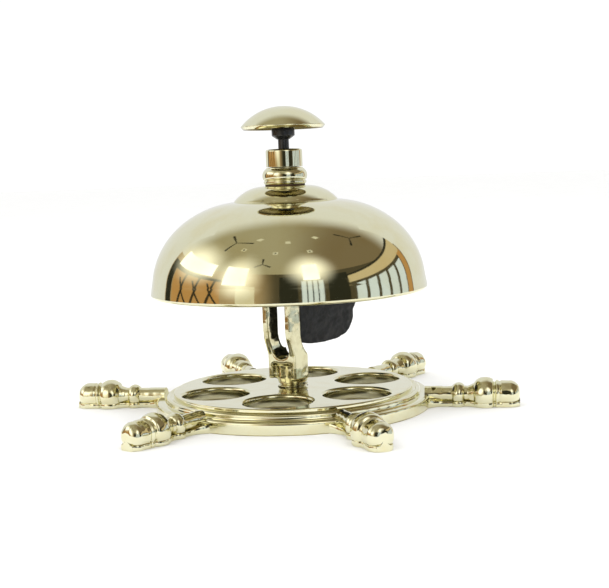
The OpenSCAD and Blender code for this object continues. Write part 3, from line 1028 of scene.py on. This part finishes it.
def halo(name, colour):
    """A glow which fades out towards the edge of its patch."""
    material = glow(name, colour)
    nodes, links = material.node_tree.nodes, material.node_tree.links
    fade = nodes.new("ShaderNodeAttribute")
    fade.attribute_name = "fade"
    clear = nodes.new("ShaderNodeBsdfTransparent")
    either = nodes.new("ShaderNodeMixShader")
    links.new(fade.outputs["Fac"], either.inputs["Fac"])
    links.new(clear.outputs["BSDF"], either.inputs[1])
    links.new(nodes["Emission"].outputs["Emission"], either.inputs[2])
    links.new(either.outputs["Shader"], nodes["Material Output"].inputs["Surface"])
    return material


RIGHT, AWAY = from_view(1, 0, 0), from_view(0, 1, 0)
WHITE_WALL = (0.84, 0.85, 0.86)
ceiling = glow("ceiling_glow", (0.42, 0.38, 0.26), ((0.22, 0.17, 0.10), RIGHT, -0.15, 0.5),
               (WHITE_WALL, AWAY, 0.12, 0.48))
backdrop = glow("backdrop_glow", WHITE_WALL)
wall = glow("wall_glow", (0.46, 0.34, 0.20), ((0.09, 0.075, 0.045), RIGHT, -0.5, -0.15))
daylight = glow("daylight_glow", (1.9, 1.95, 2.0))
pale_daylight = glow("pale_daylight_glow", (0.75, 0.85, 0.98))
haze = glow("haze_glow", (0.75, 0.70, 0.55))
amber = glow("amber_glow", (0.55, 0.31, 0.12))
gold = glow("gold_glow", (0.66, 0.54, 0.34))
dim = glow("dim_glow", (0.03, 0.03, 0.02))
lamp = glow("lamp_glow", (0.75, 0.72, 0.58))

box_patch("room_backdrop", BACK_RIGHT, BACK_LEFT, ROOM_LOW, BACKDROP_TOP, backdrop, 0)
box_patch("room_ceiling_front", -BACK_RIGHT, BACK_RIGHT, WALL_TOP, ZENITH, ceiling, 0, 48, 16)
box_patch("room_ceiling_back", BACK_RIGHT, BACK_LEFT, BACKDROP_TOP, ZENITH, ceiling, 0, 32, 12)
box_patch("room_wall", -BACK_RIGHT, BACK_RIGHT, ROOM_LOW, WALL_TOP, wall, 0, 48, 8)

bright_haze = halo("bright_haze_glow", (1.7, 1.65, 1.5))
box_patch("window_left_far", -112, -68, 20, 33, daylight)
box_patch("haze_left_far", -128, -52, 4, 54, bright_haze, 3)
box_patch("window_left_near", -57, -36, 12, 34, daylight)
box_patch("haze_left_near", -70, -18, -10, 54, bright_haze, 3)
box_patch("window_left_low", -44, -28, -13, 11, haze)
box_patch("window_front_high", 12, 26, 18, 38, daylight)
box_patch("window_front_low", 10, 28, -12, 17, pale_daylight)
box_patch("haze_front", -8, 46, 6, 56, bright_haze, 3)
for k in range(3):
    box_patch("window_front_bar_%d" % k, 14 + 4.5 * k, 15 + 4.5 * k, -12, 17, dim, 2)
box_patch("door_dark_front", -8, 7, -12, 23, dim)
box_patch("door_dark_right", 32, 50, -14, 23, dim)
box_patch("panel_left", -112, -58, -13, 17, amber)
for k in range(3):
    low = -106 + 16 * k
    bar = [(low, -13), (low + 3, -13), (low + 12, 18), (low + 10, 18)]
    patch("panel_left_bar_%d" % k, bar, dim, 2, 2, 8)
    brace = [(low + 13, -13), (low + 15, -13), (low + 4, 12), (low + 2, 12)]
    patch("panel_left_brace_%d" % k, brace, dim, 2, 2, 8)
box_patch("post_left", -121, -113, -13, 22, dim, 2)
patch("sill_left", [(-116, 17), (-58, 15), (-58, 17.5), (-116, 21)], dim, 2)
patch("beam_right", [(50, 10), (121, 22), (121, 33), (50, 18)], gold, 2)
patch("beam_right_edge", [(50, 18), (121, 33), (121, 35), (50, 20)], dim, 2)
for k in range(5):
    low = 56 + 12 * k
    pane = [(low, -13), (low + 9, -13), (low + 9, 10 + 2 * k), (low, 8 + 2 * k)]
    patch("window_right_%d" % k, pane, pale_daylight, 1)
box_patch("post_right", 114, 121, -13, 22, amber, 2)
for k in range(3):
    left, right = -60 + 42 * k, -54 + 42 * k
    box_patch("ceiling_lamp_%d" % k, left, right, 54, 57.5, lamp, 2)
    box_patch("ceiling_lamp_middle_%d" % k, left + 1.8, right - 1.8, 55, 56.5, dim, 3)
    box_patch("ceiling_lamp_far_%d" % k, -64 + 60 * k, -54 + 60 * k, 70, 73.5, lamp, 2)


def fan(name, azimuth, elevation, size):
    """A three-blade ceiling fan as a flat dark shape."""
    centre = dome_point(azimuth, elevation, ROOM_R * 0.93)
    facing = (centre - ROOM_CENTRE).to_track_quat("Z", "Y").to_matrix()
    root, tip = 0.012, 0.03
    verts, faces = [], []
    for k in range(3):
        a = math.radians(120 * k + azimuth)
        end = size * Vector((math.cos(a), math.sin(a), 0))
        across = Vector((-math.sin(a), math.cos(a), 0))
        blade = [-root * across, end - tip * across, end + tip * across, root * across]
        faces.append([len(verts) + i for i in range(4)])
        verts += [tuple(centre + facing @ p) for p in blade]
    stage_mesh(name, verts, faces, dim)


fan("fan_left", -80, 60, 0.42)
fan("fan_front", -25, 40, 0.26)
fan("fan_right", 92, 55, 0.36)

world = bpy.data.worlds.new("studio")
world.use_nodes = True
world.node_tree.nodes["Background"].inputs["Color"].default_value = (1, 1, 1, 1)
world.node_tree.nodes["Background"].inputs["Strength"].default_value = WORLD_STRENGTH
bpy.context.scene.world = world


def softbox(name, azimuth, elevation, distance=1.0):
    """A soft area light which lights the floor and the black parts, and which polished faces
    don't mirror."""
    data = bpy.data.lights.new(name, "AREA")
    data.shape = "DISK"
    data.size = SOFTBOX_SIZE
    data.energy = SOFTBOX_WATTS
    light = bpy.data.objects.new(name, data)
    bpy.context.scene.collection.objects.link(light)
    light.location = dome_point(azimuth, elevation, distance)
    light.rotation_euler = (light.location - ROOM_CENTRE).to_track_quat("Z", "Y").to_euler()
    light.visible_glossy = False
    return light


softbox("softbox_left", -60, 55)
softbox("softbox_right", 50, 65)
